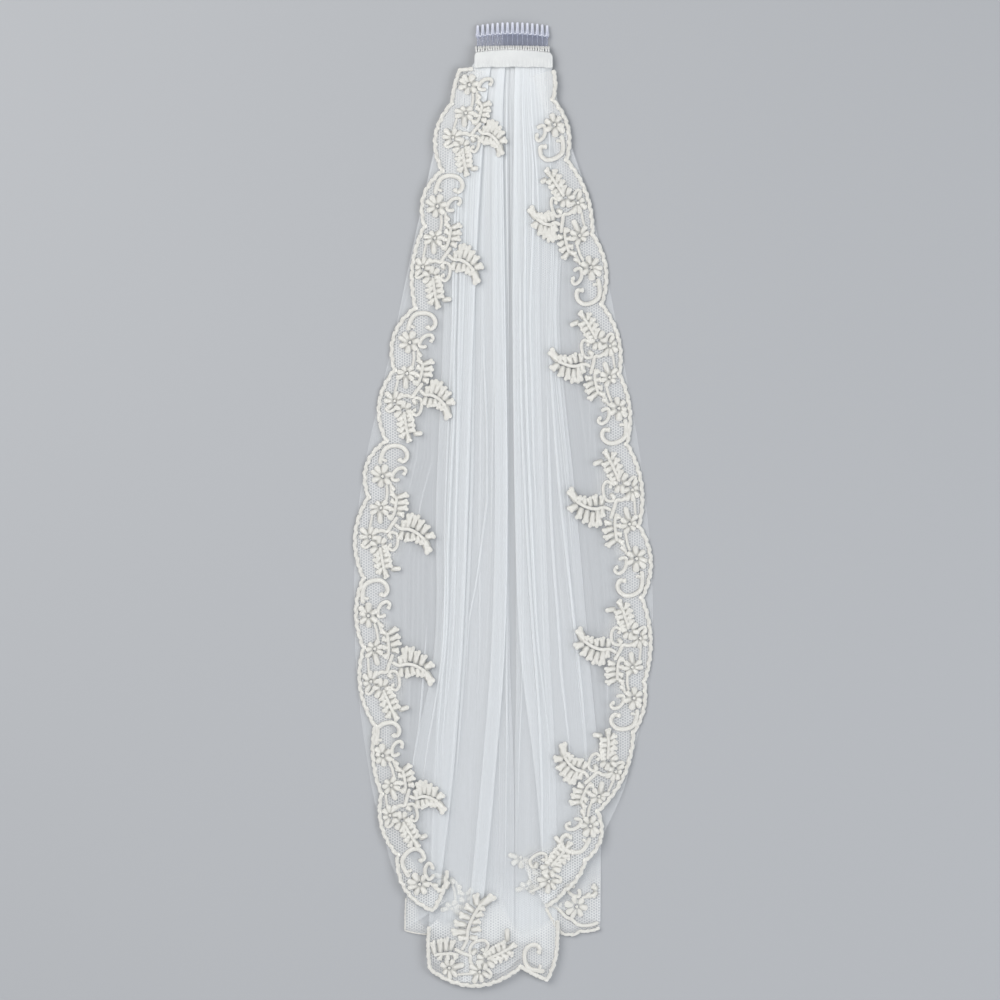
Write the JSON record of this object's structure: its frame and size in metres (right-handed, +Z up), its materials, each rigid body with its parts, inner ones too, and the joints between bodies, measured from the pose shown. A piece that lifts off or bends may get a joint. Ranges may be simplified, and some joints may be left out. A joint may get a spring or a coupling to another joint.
{
  "type": "fingertip veil",
  "caption": "Bridal veil of soft tulle with a scalloped lace edge, gathered into a ribbon band on a clear comb and laid flat in soft lengthwise folds.",
  "frame": {"origin": "centre of the veil's bounding box at its underside, on the surface that it lies on", "axes": "+Z up, +Y along the veil towards the comb's teeth, +X to the right as seen from above with the comb away from the viewer"},
  "size_m": [0.296, 0.9645, 0.0122],
  "materials": {
    "clear_plastic": "clear moulded plastic",
    "ribbon": "off-white satin ribbon",
    "tulle": "soft sheer ivory tulle",
    "lace": "corded ivory lace"
  },
  "bodies": {
    "root": {"comb": "clear_plastic", "heading_band": "ribbon", "veil_tulle": "tulle", "lace_left": "lace", "lace_right": "lace", "lace_hem_centre": "lace", "lace_hem_left": "lace", "lace_hem_right": "lace"}
  },
  "joints": []
}
